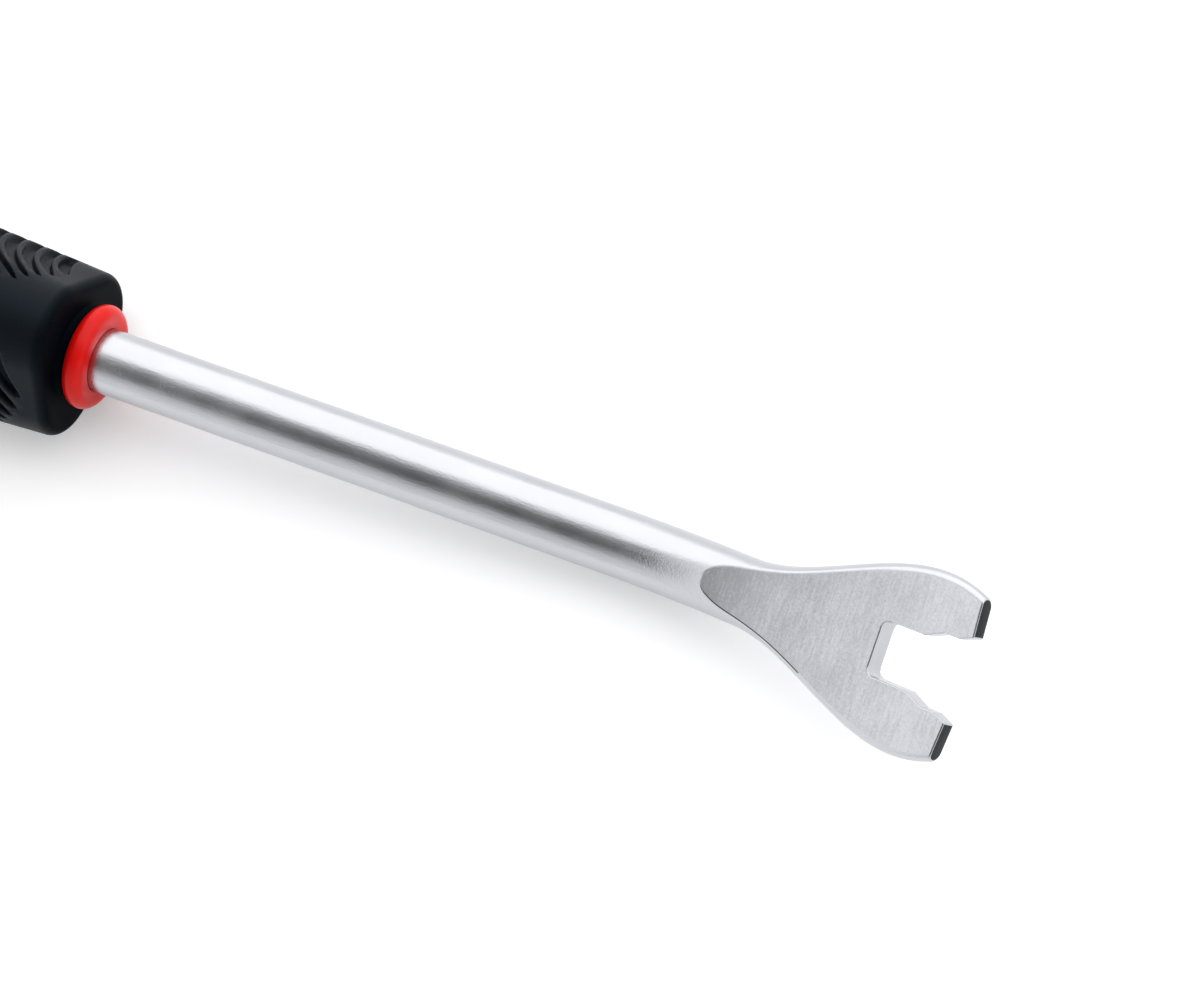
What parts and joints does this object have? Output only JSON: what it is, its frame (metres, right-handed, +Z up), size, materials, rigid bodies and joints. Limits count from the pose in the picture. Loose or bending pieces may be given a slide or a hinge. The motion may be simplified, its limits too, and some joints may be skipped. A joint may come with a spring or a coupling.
{
  "type": "trim removal tool",
  "caption": "Forked trim removal tool with a round steel shaft, a cranked notched fork, a red collar and a black ribbed rubber handle.",
  "frame": {"origin": "bottom centre of the bounding box of the tool lying on the ground plane", "axes": "+X along the tool from the butt to the fork tips, +Z up, square to the ground plane that a flat of the grip and the shaft's elbow rest on"},
  "size_m": [0.2591, 0.0324, 0.0338],
  "materials": {
    "plated_steel": "satin plated, ground bare on the upper face of the fork",
    "red_plastic": "gloss, as moulded",
    "black_rubber": "matt with a soft sheen, as moulded"
  },
  "bodies": {
    "root": {"forked_shaft": "plated_steel", "handle_core": "red_plastic", "grip": "black_rubber"}
  },
  "joints": []
}
